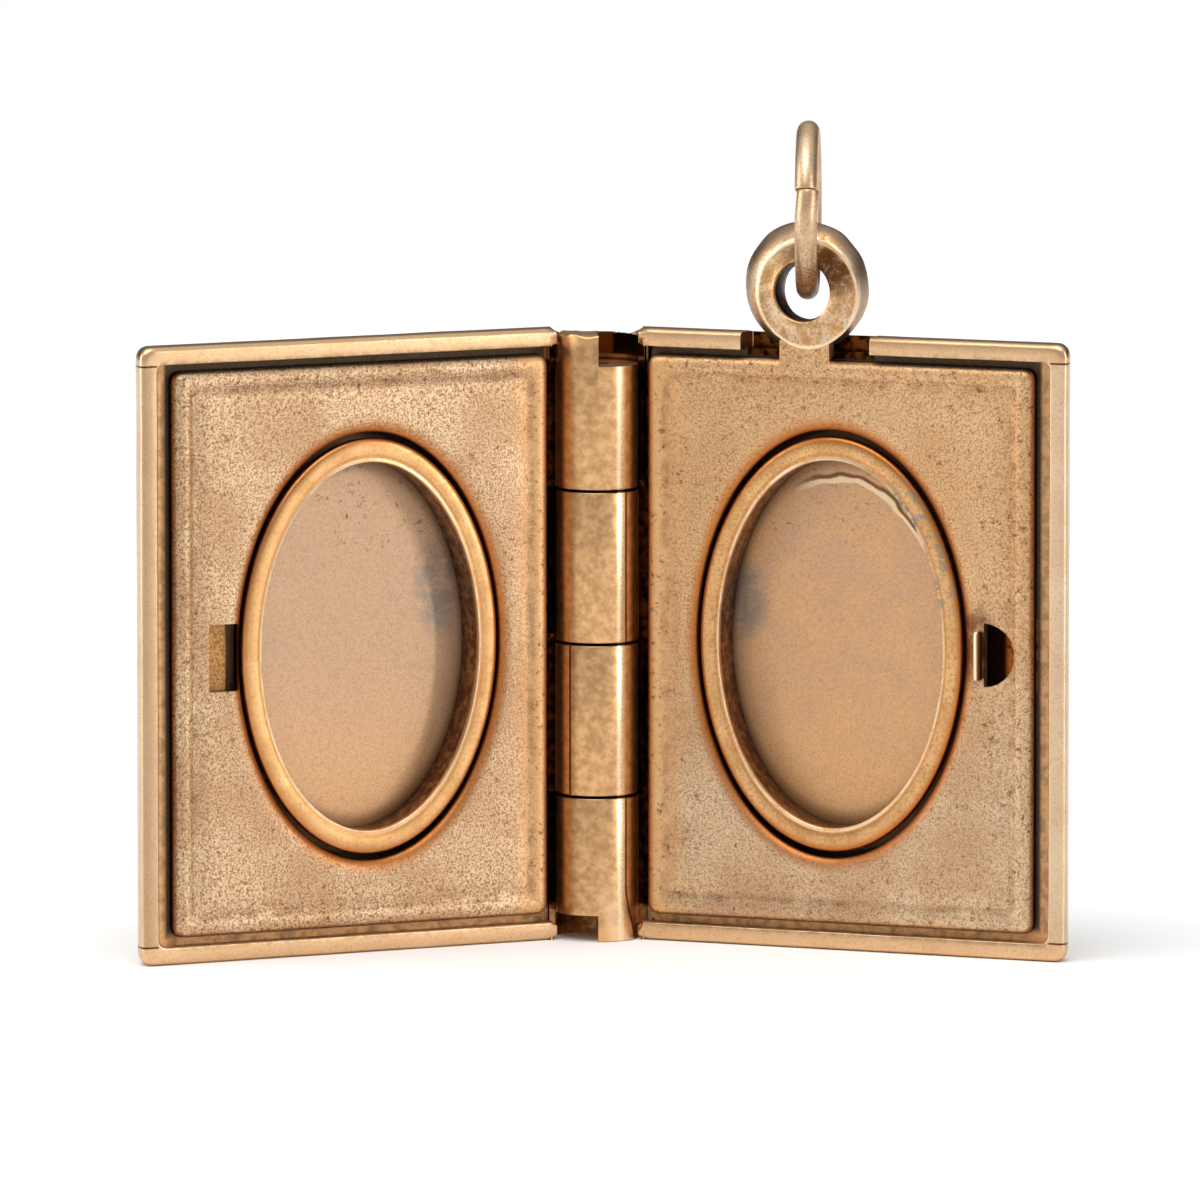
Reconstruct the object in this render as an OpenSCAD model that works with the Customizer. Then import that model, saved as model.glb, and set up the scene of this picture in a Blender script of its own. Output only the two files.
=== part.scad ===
// Book locket: two hinged leaves with oval picture frames, a soldered bail and a jump ring.
// It stands on its lower edges, open, with the spine at the back and the fore edges in front.

/* [Leaves] */
// Height of each leaf
leaf_h = 20.7; // [18:0.1:24]
// Width of each leaf, from the pin's axis to its fore edge
leaf_w = 16.93; // [15.5:0.01:20]
// Depth of each leaf, from its rim to its back
leaf_depth = 1.95; // [1.85:0.01:2.6]
// Angle of each leaf forward of flat, as the locket stands open
lean = 25; // [15:1:30]
// Width of the rim
rim_w = 0.6; // [0.4:0.01:0.8]
// Thickness of the back plate
back_t = 0.26; // [0.2:0.01:0.3]
// Radius of the round between the fore edge and the back
fore_round = 1.9; // [1.2:0.05:1.9]
// Radius of the round between the top or bottom and the back
end_round = 1.2; // [0.6:0.05:1.6]
// Corner radius of the leaf, seen from the front
corner_r = 0.4; // [0.1:0.05:0.8]
// Gap between each rim and the plane where the leaves meet when closed
rim_gap = 0.03; // [0.02:0.01:0.1]

/* [Ledge and panel] */
// Depth of the ledge that the panel lies on
ledge_w = 0.6; // [0.5:0.01:0.7]
// Thickness of the ledge
ledge_t = 0.25; // [0.2:0.01:0.3]
// Depth of the panel's face
panel_face = 0.08; // [0.05:0.01:0.15]
// Distance from the pin's axis to the panel
panel_start = 1.8; // [1.75:0.01:2.2]
// Gap between the panel and the rim at the fore edge
panel_fore_gap = 0.65; // [0.3:0.01:0.9]
// Gap between the panel and the rim at the top and bottom
panel_end_gap = 0.35; // [0.15:0.01:0.5]
// Corner radius of the panel
panel_corner = 0.4; // [0.1:0.05:0.8]

/* [Picture wells] */
// Distance of each oval's middle from the panel's middle, towards the hinge
oval_in = 0.32; // [0:0.01:0.5]
// Height of the oval's middle above the middle of the leaf
oval_rise = -0.05; // [-0.3:0.01:0.3]
// Half the width of the hole for the frame
well_a = 4.93; // [4.5:0.01:4.95]
// Half the height of the hole for the frame
well_b = 7.27; // [6.5:0.01:7.6]
// Gap beside the frame's face
groove_a = 0.18; // [0.1:0.01:0.25]
// Gap above and below the frame's face
groove_b = 0.27; // [0.1:0.01:0.35]
// Width of the frame's face at its sides
frame_side = 0.7; // [0.5:0.01:0.9]
// Width of the frame's face at its top and bottom
frame_end = 0.8; // [0.5:0.01:1]
// Depth of the frame's face
frame_face = 0.12; // [0.08:0.01:0.2]
// Thickness of the frame's face
frame_t = 0.3; // [0.2:0.01:0.4]
// Thickness of the frame's inner wall
frame_wall = 0.25; // [0.2:0.01:0.35]
// Thickness of the picture plate
plate_t = 0.25; // [0.15:0.01:0.35]

/* [Hinge and spine] */
// Radius of the hinge barrel
barrel_r = 1.38; // [1.2:0.01:1.4]
// Radius of the hinge pin
pin_r = 0.35; // [0.25:0.01:0.5]
// Radial clearance of the pin in the knuckles
pin_clear = 0.04; // [0.02:0.01:0.06]
// Number of knuckles
knuckles = 4; // [4:2:6]
// Gap between neighbouring knuckles
knuckle_gap = 0.05; // [0.04:0.01:0.1]
// Height of the cut at the outer ends of the first and last knuckles
end_cut = 0.95; // [0.6:0.05:1.4]
// Thickness of the spine
spine_t = 0.19; // [0.15:0.01:0.22]
// Running clearance on each side of the spine
spine_clear = 0.05; // [0.04:0.01:0.06]

/* [Bail and jump ring] */
// Distance from the pin's axis to the middle of the bail
bail_u = 7.65; // [7:0.05:9]
// Height of the bail's middle above the leaf
bail_rise = 1.39; // [1.3:0.01:1.6]
// Outer radius of the bail
bail_r = 2.02; // [1.95:0.01:2.1]
// Radius of the bail's hole
bail_hole_r = 0.95; // [0.9:0.01:1]
// Thickness of the bail
bail_t = 1.5; // [1.3:0.05:1.55]
// Width of the cut in the top wall, in which the bail stands
bail_cut = 4.4; // [4.3:0.05:5]
// Depth of that cut
bail_cut_depth = 1.1; // [1:0.05:1.2]
// Width of the panel's tab under the bail
tab_w = 1.95; // [1.5:0.05:2.4]
// Outer diameter of the jump ring
ring_d = 6; // [6:0.1:7]
// Diameter of the jump ring's wire
wire_d = 0.75; // [0.6:0.01:0.8]
// Turn of the jump ring's plane from straight ahead
ring_turn = 8; // [5:1:20]

/* [Catch] */
// Height of the catch above the leaf's lower edge
catch_z = 10.2; // [9:0.1:12]
// Distance that the slot opens into the hole for the frame
slot_bite = 0.05; // [0.02:0.01:0.1]
// Width of the slot
slot_w = 1.14; // [1:0.01:1.3]
// Height of the slot
slot_h = 2.27; // [2:0.01:2.6]
// Thickness of the tongue
tongue_t = 0.24; // [0.2:0.01:0.3]
// Distance that the tongue stands above the panel
tongue_rise = 0.45; // [0.3:0.01:0.45]
// Clearance between the tongue and each end of the slot
tongue_clear = 0.3; // [0.2:0.01:0.5]
// Radius of the rounded hole beside the tongue
catch_hole_r = 1.07; // [0.9:0.01:1.2]

/* [Hidden] */
$fn = 64;
eps = 0.01;
fit_gap = 0.02;
oval_steps = 72;
round_steps = 8;

back_in = leaf_depth - back_t;
panel_t = ledge_w - fit_gap - panel_face;
panel_end = leaf_w - rim_w - panel_fore_gap;
panel_low = rim_w + panel_end_gap;
oval_u = (panel_start + panel_end) / 2 - oval_in;
oval_z = leaf_h / 2 + oval_rise;

spine_in = barrel_r + spine_clear;
spine_out = spine_in + spine_t;
sweep_r = spine_out + spine_clear;
bore_r = pin_r + pin_clear;
knuckle_h = leaf_h / knuckles;
strap_reach = sweep_r + spine_clear;
hinge_wall_t = back_t;
open_turn = 180 - 2 * lean;
// The hinge straps carry on from the ledge, so their backs face the spine at this turn
strap_turn = asin((ledge_w + ledge_t) / spine_in);
// The spine and the lip each stop this many degrees short of what they would meet, fully open
stop_turn = 4;
spine_end = 360 - open_turn - strap_turn - stop_turn;
lip_turn = 180 - open_turn - stop_turn;
// The pin stands this far behind the middle of the whole locket's depth
pin_y = (leaf_w * sin(lean) - rim_gap * cos(lean) - leaf_depth) / 2;

bail_z = leaf_h + bail_rise;
bail_front = panel_face - fit_gap;
bail_round = 0.35;
ring_r = (ring_d - wire_d) / 2;
// The wire lies this far above the middle of the hole
wire_rise = 0.11;
ring_z = bail_z + wire_rise + ring_r;
ring_depth = bail_front + bail_t / 2;
ring_slit = 0.06;
// The slit lies in front, this many degrees above the ring's middle
slit_rise = 19;

slot_u = oval_u + well_a - slot_bite;
tongue_u = slot_u + slot_w / 2 - tongue_t / 2;
slit_u = slot_u + slot_w - ledge_t * 2;

// Points of a quarter turn about a middle, from one angle to another
function arc(mid, r, from, to, steps = round_steps) =
    [for (i = [0 : steps]) let (t = from + (to - from) * i / steps) mid + r * [cos(t), sin(t)]];

function oval(a, b) =
    [for (i = [0 : oval_steps - 1]) let (t = 360 * i / oval_steps) [a * cos(t), b * sin(t)]];

// A leaf is drawn with X outward from the pin, Y from the rim to the back and Z up.
// The right leaf turns into place about the pin, and the left one is its mirror.
module right_place() { translate([0, pin_y, 0]) rotate([0, 0, -lean]) children(); }
module left_place() { mirror([1, 0, 0]) right_place() children(); }

// Draws a flat outline in X and Z, from one depth to another
module slab(from, to) {
    translate([0, to, 0]) rotate([90, 0, 0]) linear_extrude(to - from) children();
}

// The body of a leaf with its two kinds of round
module leaf_body(start, end, low, high, front, back, r_fore, r_end) {
    intersection() {
        linear_extrude(high) polygon(concat(
            [[start, back], [start, front], [end, front]],
            arc([end - r_fore, back - r_fore], r_fore, 0, 90)));
        translate([start, 0, 0]) rotate([90, 0, 90]) linear_extrude(end - start) polygon(concat(
            [[front, low]],
            arc([back - r_end, low + r_end], r_end, -90, 0),
            arc([back - r_end, high - r_end], r_end, 0, 90),
            [[front, high]]));
    }
}

module outline(start, end, low, high, r) {
    polygon(concat(
        [[start, low]],
        arc([end - r, low + r], r, -90, 0),
        arc([end - r, high - r], r, 0, 90),
        [[start, high]]));
}

module oval_hole(from, to) {
    translate([oval_u, 0, oval_z]) slab(from, to) polygon(oval(well_a, well_b));
}

// A tray with its ledge, before the hinge is added
module tray() {
    in_fore = max(fore_round - rim_w, eps);
    in_end = max(end_round - rim_w / 2, eps);
    difference() {
        intersection() {
            leaf_body(0, leaf_w, 0, leaf_h, rim_gap, leaf_depth, fore_round, end_round);
            slab(0, leaf_depth) outline(0, leaf_w, 0, leaf_h, corner_r);
        }
        leaf_body(strap_reach + hinge_wall_t, leaf_w - rim_w, rim_w, leaf_h - rim_w,
                  -eps, back_in, in_fore, in_end);
        // The hinge side is clear of the spine's sweep, and open in front of the hinge wall
        translate([0, 0, -eps]) cylinder(r = sweep_r, h = leaf_h + 2 * eps);
        translate([-eps, -eps, rim_w])
            cube([strap_reach + hinge_wall_t + 2 * eps, ledge_w + eps, leaf_h - 2 * rim_w]);
    }
    difference() {
        slab(ledge_w, ledge_w + ledge_t)
            outline(strap_reach, leaf_w - rim_w + eps, rim_w - eps, leaf_h - rim_w + eps, corner_r);
        oval_hole(ledge_w - eps, ledge_w + ledge_t + eps);
    }
}

// Knuckle number i, counted from the bottom, with its strap to the hinge wall
module knuckle(i) {
    low = i * knuckle_h + (i == 0 ? 0 : knuckle_gap / 2);
    high = (i + 1) * knuckle_h - (i == knuckles - 1 ? 0 : knuckle_gap / 2);
    bore_low = i == 0 ? end_cut : low - eps;
    bore_high = i == knuckles - 1 ? leaf_h - end_cut : high + eps;
    difference() {
        union() {
            translate([0, 0, low]) cylinder(r = barrel_r, h = high - low);
            translate([0, ledge_w, low]) cube([strap_reach + hinge_wall_t / 2, ledge_t, high - low]);
        }
        translate([0, 0, bore_low]) cylinder(r = bore_r, h = bore_high - bore_low);
        if (i == 0) end_notch(-eps);
        if (i == knuckles - 1) end_notch(leaf_h - end_cut);
    }
}

// The cut that takes away the outer half of a knuckle's end
module end_notch(low) {
    translate([-2 * barrel_r, -2 * barrel_r, low]) cube([2 * barrel_r, 4 * barrel_r, end_cut + 2 * eps]);
}

// A curved plate round the pin, from one turn to another
module curved_plate(r_in, r_out, from, to) {
    rotate([0, 0, from]) rotate_extrude(angle = to - from)
        translate([r_in, 0]) square([r_out - r_in, leaf_h]);
}

module oval_frame() {
    out_a = well_a - groove_a;
    out_b = well_b - groove_b;
    in_a = out_a - frame_side;
    in_b = out_b - frame_end;
    foot = back_in - plate_t - 2 * fit_gap;
    translate([oval_u, 0, oval_z]) difference() {
        union() {
            slab(frame_face, frame_face + frame_t) polygon(oval(out_a, out_b));
            slab(frame_face + frame_t - eps, foot) polygon(oval(in_a + frame_wall, in_b + frame_wall));
        }
        slab(frame_face - eps, foot + eps) polygon(oval(in_a, in_b));
    }
}

module picture_plate() {
    translate([oval_u, 0, oval_z]) slab(back_in - plate_t - fit_gap, back_in - fit_gap)
        polygon(oval(well_a - groove_a / 2, well_b - groove_b / 2));
}

module plain_panel() {
    difference() {
        slab(panel_face, panel_face + panel_t) panel_outline();
        oval_hole(panel_face - eps, panel_face + panel_t + eps);
    }
}

module panel_outline() {
    high = leaf_h - panel_low;
    polygon(concat(
        arc([panel_start + panel_corner, panel_low + panel_corner], panel_corner, 180, 270),
        arc([panel_end - panel_corner, panel_low + panel_corner], panel_corner, 270, 360),
        arc([panel_end - panel_corner, high - panel_corner], panel_corner, 0, 90),
        arc([panel_start + panel_corner, high - panel_corner], panel_corner, 90, 180)));
}

module bail() {
    translate([bail_u, bail_front, bail_z]) rotate([-90, 0, 0]) rotate_extrude() polygon(concat(
        [[bail_hole_r, 0]],
        arc([bail_r - bail_round, bail_round], bail_round, -90, 0, 4),
        arc([bail_r - bail_round, bail_t - bail_round], bail_round, 0, 90, 4),
        [[bail_hole_r, bail_t]]));
}

module left_cover() {
    color([0.93, 0.78, 0.62]) left_place() {
        difference() {
            tray();
            translate([slot_u, ledge_w - eps, catch_z - slot_h / 2])
                cube([slit_u - slot_u, ledge_t + 2 * eps, slot_h]);
        }
        // The lip curls over the spine from the back plate
        curved_plate(back_in, leaf_depth, 90 - eps, 90 + lip_turn);
        for (i = [1 : 2 : knuckles - 1]) knuckle(i);
    }
}

module left_panel() {
    color([0.80, 0.66, 0.50]) left_place() difference() {
        plain_panel();
        translate([slot_u, panel_face - eps, catch_z - slot_h / 2]) cube([slot_w, panel_t + 2 * eps, slot_h]);
    }
}

module left_frame() { color([0.82, 0.63, 0.40]) left_place() oval_frame(); }
module left_picture_plate() { color([0.82, 0.68, 0.56]) left_place() picture_plate(); }

module right_cover() {
    color([0.93, 0.78, 0.62]) right_place() {
        difference() {
            tray();
            translate([bail_u - bail_cut / 2, -eps, leaf_h - rim_w - panel_end_gap / 2])
                cube([bail_cut, bail_cut_depth + eps, rim_w + panel_end_gap]);
        }
        // The spine grows out of the back plate's inner edge and goes round the barrel
        curved_plate(spine_in, spine_out, 90 - eps, spine_end);
        translate([0, (spine_in + spine_out) / 2, 0])
            cube([spine_t * 2, leaf_depth - (spine_in + spine_out) / 2, leaf_h]);
        for (i = [0 : 2 : knuckles - 1]) knuckle(i);
    }
}

module right_panel() {
    color([0.80, 0.66, 0.50]) right_place() {
        difference() {
            union() {
                plain_panel();
                // The tab rises through the cut in the top wall and into the foot of the bail
                slab(panel_face, panel_face + panel_t) translate([bail_u - tab_w / 2, leaf_h - panel_low - eps])
                    square([tab_w, panel_low + bail_rise - bail_hole_r - bail_round]);
            }
            catch_hole();
        }
        difference() {
            bail();
            // The bail's foot clears what is left of the top wall behind it
            translate([bail_u - bail_r, bail_cut_depth - 2 * fit_gap - eps, 0])
                cube([2 * bail_r, leaf_depth, leaf_h + 2 * fit_gap]);
        }
        tongue();
    }
}

// A hole with a straight side at the tongue and an arc on the other side
module catch_hole() {
    translate([tongue_u + tongue_t, 0, catch_z]) slab(panel_face - eps, panel_face + panel_t + eps)
        intersection() {
            circle(r = catch_hole_r);
            translate([0, -catch_hole_r]) square([catch_hole_r, 2 * catch_hole_r]);
        }
}

module tongue() {
    h = slot_h - 2 * tongue_clear;
    translate([tongue_u, 0, catch_z]) rotate([90, 0, 90]) linear_extrude(tongue_t) polygon(concat(
        [[panel_face + panel_t, -h / 2], [panel_face + panel_t, h / 2]],
        arc([panel_face - tongue_rise + tongue_t, h / 2 - tongue_t], tongue_t, 90, 180, 4),
        arc([panel_face - tongue_rise + tongue_t, tongue_t - h / 2], tongue_t, 180, 270, 4)));
}

module right_frame() { color([0.82, 0.63, 0.40]) right_place() oval_frame(); }
module right_picture_plate() { color([0.82, 0.68, 0.56]) right_place() picture_plate(); }

module hinge_pin() {
    color([0.75, 0.58, 0.36]) translate([0, pin_y, end_cut + fit_gap])
        cylinder(r = pin_r, h = leaf_h - 2 * (end_cut + fit_gap));
}

// A round ring that stands up in the bail, with the slit where its wire's ends meet
module jump_ring() {
    slit_turn = ring_slit / ring_r * 180 / PI;
    color([0.93, 0.80, 0.62]) right_place() translate([bail_u, ring_depth, ring_z])
        rotate([0, 0, lean - ring_turn]) rotate([0, 90, 0]) rotate([0, 0, 270 - slit_rise + slit_turn / 2])
        rotate_extrude(angle = 360 - slit_turn) translate([ring_r, 0]) circle(d = wire_d);
}

left_cover();
left_panel();
left_frame();
left_picture_plate();
right_cover();
right_panel();
right_frame();
right_picture_plate();
hinge_pin();
jump_ring();
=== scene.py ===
import math
import bpy
import bmesh
from mathutils import Matrix, Vector, noise


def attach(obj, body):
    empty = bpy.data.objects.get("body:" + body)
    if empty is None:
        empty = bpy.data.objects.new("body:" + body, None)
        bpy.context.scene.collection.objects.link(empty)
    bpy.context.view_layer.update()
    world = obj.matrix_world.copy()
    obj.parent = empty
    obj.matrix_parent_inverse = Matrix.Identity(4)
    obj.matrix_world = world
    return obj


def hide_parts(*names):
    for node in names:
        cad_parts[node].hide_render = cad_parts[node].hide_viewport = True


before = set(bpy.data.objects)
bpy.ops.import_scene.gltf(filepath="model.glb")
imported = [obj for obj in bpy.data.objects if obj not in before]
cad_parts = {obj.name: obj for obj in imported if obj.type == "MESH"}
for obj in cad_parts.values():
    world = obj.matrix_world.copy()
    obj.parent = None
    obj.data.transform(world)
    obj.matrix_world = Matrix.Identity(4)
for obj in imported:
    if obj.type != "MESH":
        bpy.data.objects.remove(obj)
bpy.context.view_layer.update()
print("frame loaded")

# Everything is drawn in millimetres on a leaf that lies flat, and then placed:
# X runs outward from the hinge pin, Y from the rim to the back, Z up
leaf = {
    "height": 20.7,
    "width": 16.93,
    "depth": 1.95,
    "lean": 25,
    "rim": 0.6,
    "rimGap": 0.03,
    "back": 0.26,
}
lean = math.radians(leaf["lean"])
pinY = (leaf["width"] * math.sin(lean) - leaf["rimGap"] * math.cos(lean) - leaf["depth"]) / 2
toMetres = Matrix.Scale(0.001, 4)
rightPlace = toMetres @ Matrix.Translation((0, pinY, 0)) @ Matrix.Rotation(-lean, 4, "Z")
leftPlace = Matrix.Scale(-1, 4, (1, 0, 0)) @ rightPlace
places = {"left": leftPlace, "right": rightPlace}
midHeight = leaf["height"] / 2
standUp = Matrix.Rotation(math.radians(90), 4, "X")

# The camera looks slightly down and a little from the left, with a long lens
camera = {
    "distance": 557,
    "azimuth": -1.94,
    "elevation": 6.45,
    "pixelsPerMm": 29.7,
    "pictureWidth": 1200,
    "sensor": 36,
    "aimX": 0.1,
    "aimRise": 1.1,
}
azimuth = math.radians(camera["azimuth"])
elevation = math.radians(camera["elevation"])
towards = Vector((
    math.sin(azimuth) * math.cos(elevation),
    -math.cos(azimuth) * math.cos(elevation),
    math.sin(elevation)))
cameraData = bpy.data.cameras.new("camera")
cameraData.sensor_width = camera["sensor"]
cameraData.lens = camera["pixelsPerMm"] * camera["distance"] * camera["sensor"] / camera["pictureWidth"]
cameraData.clip_start = 0.01
cameraData.clip_end = 10
cameraObject = bpy.data.objects.new("camera", cameraData)
bpy.context.collection.objects.link(cameraObject)
aim = Vector((camera["aimX"], pinY, midHeight + camera["aimRise"]))
cameraObject.location = (aim + towards * camera["distance"]) * 0.001
cameraObject.rotation_mode = "QUATERNION"
cameraObject.rotation_quaternion = (-towards).to_track_quat("-Z", "Y")
bpy.context.scene.camera = cameraObject


# Main sizes that the materials need too

cover = {
    "start": -3,
    "foreRound": 1.9,
    "endRound": 1.2,
    "corner": 0.42,
    "innerForeRound": 1.3,
    "innerEndRound": 0.9,
    "innerCorner": 0.3,
    "hingeReach": 1.67,
    "barReach": 1.5,
    "barRound": 0.13,
    "barStep": 0.06,
    "barDepth": 0.9,
    "hingeWallStart": 1.5,
    "hingeWall": 1.98,
    "ledge": 0.6,
    "ledgeThick": 0.25,
    "dent": 0.012,
}
backIn = leaf["depth"] - leaf["back"]
panel = {
    "start": 1.74,
    "foreGap": 0.65,
    "endGap": 0.26,
    "corner": 0.4,
    "face": 0.08,
    "back": 0.58,
    "ovalIn": 0.29,
    "ovalRise": -0.05,
    "holeWidth": 4.93,
    "holeHeight": 7.27,
    "wave": 0.02,
}
panelLow = Vector((panel["start"], leaf["rim"] + panel["endGap"]))
panelHigh = Vector((leaf["width"] - leaf["rim"] - panel["foreGap"], leaf["height"] - panelLow[1]))
ovalMiddle = Vector(((panelLow[0] + panelHigh[0]) / 2 - panel["ovalIn"], midHeight + panel["ovalRise"]))
ovalFrame = {"grooveWidth": 0.18, "grooveHeight": 0.27, "side": 0.7, "end": 0.8}
knuckle = {
    "count": 4,
    "radius": 1.38,
    "bore": 0.39,
    "gap": 0.05,
    "edge": 0.08,
    "seam": 0.94,
    "drop": 0.27,
    "worn": 0.22,
    "cutTop": 1.24,
    "cutFoot": 0.9,
    "spineWorn": 0.34,
    "spineIn": 1.43,
    "spineOut": 1.62,
    "arcDepth": 0.87,
    "strapIn": 0.4,
    "strapOut": 0.1,
    "strapTop": 1.3,
    "strapGap": 0.05,
}
knuckleHeight = leaf["height"] / knuckle["count"]
catch = {
    "z": 10.2,
    "width": 1.14,
    "height": 2.27,
    "bite": 0.05,
    "tongue": 0.24,
    "rise": 0.45,
    "clear": 0.3,
    "holeRadius": 1.07,
    "slit": 13.58,
}
slotStart = ovalMiddle[0] + panel["holeWidth"] - catch["bite"]
tongueStart = slotStart + catch["width"] / 2 - catch["tongue"] / 2
bail = {
    "middle": 7.4,
    "rise": 1.43,
    "hole": 0.95,
    "thick": 1.5,
    "front": 0.06,
    "dent": 0.05,
    "ragged": 0.12,
    "tab": 1.8,
    "tabMiddle": 7.47,
    "cut": 4.66,
    "cutMiddle": 7.53,
    "cutDepth": 1.1,
}
bailHeight = leaf["height"] + bail["rise"]


# Materials

class Wire:
    # A socket with its material's nodes, so that numbers on it can be written as sums
    def __init__(self, tree, socket):
        self.tree = tree
        self.socket = socket

    def node(self, kind, settings=None, sockets=None, out=0):
        made = self.tree.nodes.new(kind)
        for name, value in (settings or {}).items():
            setattr(made, name, value)
        for name, value in (sockets or {}).items():
            if isinstance(value, Wire):
                self.tree.links.new(value.socket, made.inputs[name])
            else:
                made.inputs[name].default_value = value
        return Wire(self.tree, made.outputs[out])

    def sum(self, operation, first, second=0.0):
        return self.node("ShaderNodeMath", {"operation": operation}, {0: first, 1: second})

    def __add__(self, other):
        return self.sum("ADD", self, other)

    def __sub__(self, other):
        return self.sum("SUBTRACT", self, other)

    def __mul__(self, other):
        return self.sum("MULTIPLY", self, other)

    def __truediv__(self, other):
        return self.sum("DIVIDE", self, other)

    def __pow__(self, other):
        return self.sum("POWER", self, other)

    def __radd__(self, other):
        return self.sum("ADD", other, self)

    def __rsub__(self, other):
        return self.sum("SUBTRACT", other, self)

    def __rmul__(self, other):
        return self.sum("MULTIPLY", other, self)

    def __abs__(self):
        return self.sum("ABSOLUTE", self)

    def least(self, other):
        return self.sum("MINIMUM", self, other)

    def most(self, other):
        return self.sum("MAXIMUM", self, other)

    def toAndFro(self, reach):
        # Runs from 0 up to the reach and back again, over and over
        return self.sum("PINGPONG", self, reach)

    def fade(self, low, high):
        # 0 at low and 1 at high, smoothly
        return self.node("ShaderNodeMapRange", {"interpolation_type": "SMOOTHSTEP"},
                         {"Value": self, "From Min": low, "From Max": high})

    def band(self, low, high, soft):
        # 1 between low and high, with soft ends outside them
        return self.fade(low - soft, low) * (1 - self.fade(high, high + soft))

    def tint(self, first, second):
        # The first colour where this is 0 and the second where it is 1
        return self.node("ShaderNodeMix", {"data_type": "RGBA"}, {0: self, 6: first, 7: second}, out=2)

    def speckle(self, scale, detail=2.0, roughness=0.5):
        return self.node("ShaderNodeTexNoise", {},
                         {"Vector": self, "Scale": scale, "Detail": detail, "Roughness": roughness})

    def axis(self, index):
        return self.node("ShaderNodeSeparateXYZ", {}, {"Vector": self}, out=index)


def colour(red, green, blue):
    # Screen values, as the shader wants them
    return [*((c / 255) ** 2.2 for c in (red, green, blue)), 1]


gold = {
    "glow": colour(255, 234, 198),
    "cream": colour(222, 194, 160),
    "honey": colour(226, 176, 122),
    "beige": colour(200, 166, 132),
    "rose": colour(196, 161, 136),
    "ochre": colour(202, 152, 98),
    "tan": colour(164, 124, 84),
    "orange": colour(178, 104, 44),
    "brown": colour(96, 56, 26),
    # The near black is painted shade in most places, and dark dirt only in the knuckles' joints
    "sootAndShade": colour(32, 18, 9),
    "grey": colour(136, 130, 122),
}


class Finish:
    # A material with the leaf's own millimetres in it, and the distances that dirt, wear, painted shade and
    # painted highlights follow
    def __init__(self, name, side="right"):
        self.material = bpy.data.materials.new(name)
        self.material.use_nodes = True
        self.tree = self.material.node_tree
        self.shader = self.tree.nodes["Principled BSDF"]
        flip = -1000 if side == "left" else 1000
        place = Wire(self.tree, self.tree.nodes.new("ShaderNodeTexCoord").outputs["Object"])
        self.point = place.node("ShaderNodeMapping", {"vector_type": "POINT"}, {
            "Vector": place,
            "Location": (pinY * math.sin(lean), -pinY * math.cos(lean), 0),
            "Rotation": (0, 0, lean),
            "Scale": (flip, 1000, 1000)})
        self.out, self.deep, self.up = [self.point.axis(i) for i in range(3)]
        if side == "left":
            # The two leaves aren't clouded alike
            self.point = self.point.node("ShaderNodeVectorMath", {}, {0: self.point, 1: (31, 7, 0)})

    def across(self):
        # Millimetres outward from the pin, as seen from straight in front
        return self.out * math.cos(lean) + self.deep * math.sin(lean)

    def fromOval(self):
        # Millimetres outward from the panel's oval hole, roughly
        across = (self.out - ovalMiddle[0]) / panel["holeWidth"]
        along = (self.up - ovalMiddle[1]) / panel["holeHeight"]
        return ((across * across + along * along) ** 0.5 - 1) * 5.6

    def spot(self, out, up, width, height):
        # A soft round patch
        across = (self.out - out) / width
        along = (self.up - up) / height
        return 1 - (across * across + along * along).fade(0.1, 1.2)

    def finish(self, surface, roughness, grain, depth):
        bump = grain.node("ShaderNodeBump", {}, {"Strength": depth, "Distance": 0.00001, "Height": grain})
        for name, value in {"Base Color": surface, "Roughness": roughness, "Normal": bump}.items():
            self.tree.links.new(value.socket, self.shader.inputs[name])
        self.shader.inputs["Metallic"].default_value = 1
        return self.material


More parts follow.
